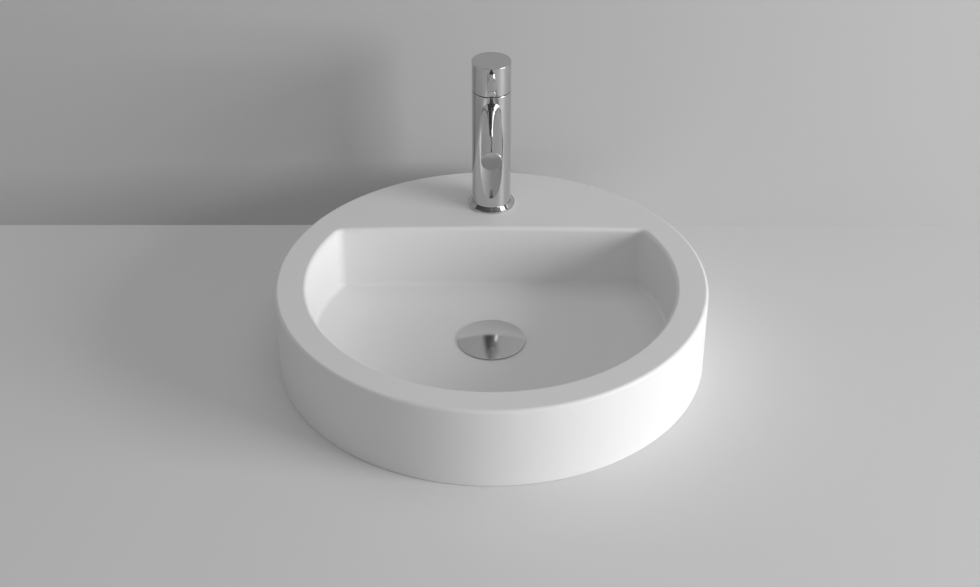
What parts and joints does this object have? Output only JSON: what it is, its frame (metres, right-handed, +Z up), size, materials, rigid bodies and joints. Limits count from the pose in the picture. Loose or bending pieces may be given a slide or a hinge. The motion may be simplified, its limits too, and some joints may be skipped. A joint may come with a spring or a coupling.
{
  "type": "countertop basin",
  "caption": "Round countertop basin with a D-shaped bowl, a rear deck carrying a single-lever pillar mixer with a straight spout, and a domed click waste.",
  "frame": {"origin": "centre of the foot ring, on the countertop's plane", "axes": "+Z up, +Y towards the wall behind the basin, -Y towards the user, +X to the user's right"},
  "size_m": [0.43, 0.43, 0.3136],
  "materials": {
    "basin_white": "matte white, fine and even",
    "chrome": "polished chrome on brass",
    "rubber": "black rubber",
    "grey_plastic": "moulded grey plastic",
    "pale_plastic": "moulded pale plastic",
    "cover_plastic": "plated plastic button",
    "steel": "plain bright steel",
    "brass": "machined brass",
    "disc_ceramic": "lapped technical ceramic"
  },
  "bodies": {
    "basin_and_mixer": {"basin": "basin_white", "waste_body": "chrome", "waste_flange_seal": "rubber", "waste_under_seal": "rubber", "waste_slip_washer": "grey_plastic", "waste_back_nut": "brass", "waste_click_housing": "grey_plastic", "waste_spring": "steel", "mixer_body": "chrome", "base_flange": "chrome", "base_seal": "rubber", "spout": "chrome", "spout_seal": "rubber", "aerator_housing": "grey_plastic", "aerator_seal": "rubber", "aerator_insert": "pale_plastic", "fixing_stud": "steel", "rubber_horseshoe": "rubber", "steel_horseshoe": "steel", "fixing_nut": "brass", "cartridge_base": "grey_plastic", "fixed_disc": "disc_ceramic", "port_seals": "rubber", "cartridge_housing": "grey_plastic", "cartridge_nut": "chrome"},
    "turning_collar": {"turning_collar": "grey_plastic", "pivot_pin": "steel"},
    "handle": {"handle_stem": "brass", "handle_cap": "chrome", "pin_lever": "chrome", "grub_screw": "steel", "grub_cover": "cover_plastic"},
    "mixing_disc": {"moving_disc": "disc_ceramic", "disc_carrier": "grey_plastic"},
    "waste_plug": {"waste_cap": "chrome", "waste_plug": "grey_plastic", "waste_plug_seal": "rubber", "waste_plunger": "steel"}
  },
  "joints": [
    {"name": "handle_turn", "type": "hinge", "parent": "basin_and_mixer", "child": "turning_collar", "pos_m": [0, 0.1475, 0.2226], "axis": [0, 0, 1], "range_deg": [-45, 45]},
    {"name": "handle_lift", "type": "hinge", "parent": "turning_collar", "child": "handle", "pos_m": [0, 0.1475, 0.2226], "axis": [-1, 0, 0], "range_deg": [0, 18]},
    {"name": "disc_slide", "type": "slide", "parent": "turning_collar", "child": "mixing_disc", "axis": [0, -1, 0], "range_m": [0, 0.0016]},
    {"name": "waste_lift", "type": "slide", "parent": "basin_and_mixer", "child": "waste_plug", "axis": [0, 0, 1], "range_m": [-0.0006, 0.008], "deforming": ["waste_spring"]}
  ],
  "couplings": [
    {"joint": "disc_slide", "follows": "handle_lift", "m_per_rad": 0.005}
  ]
}
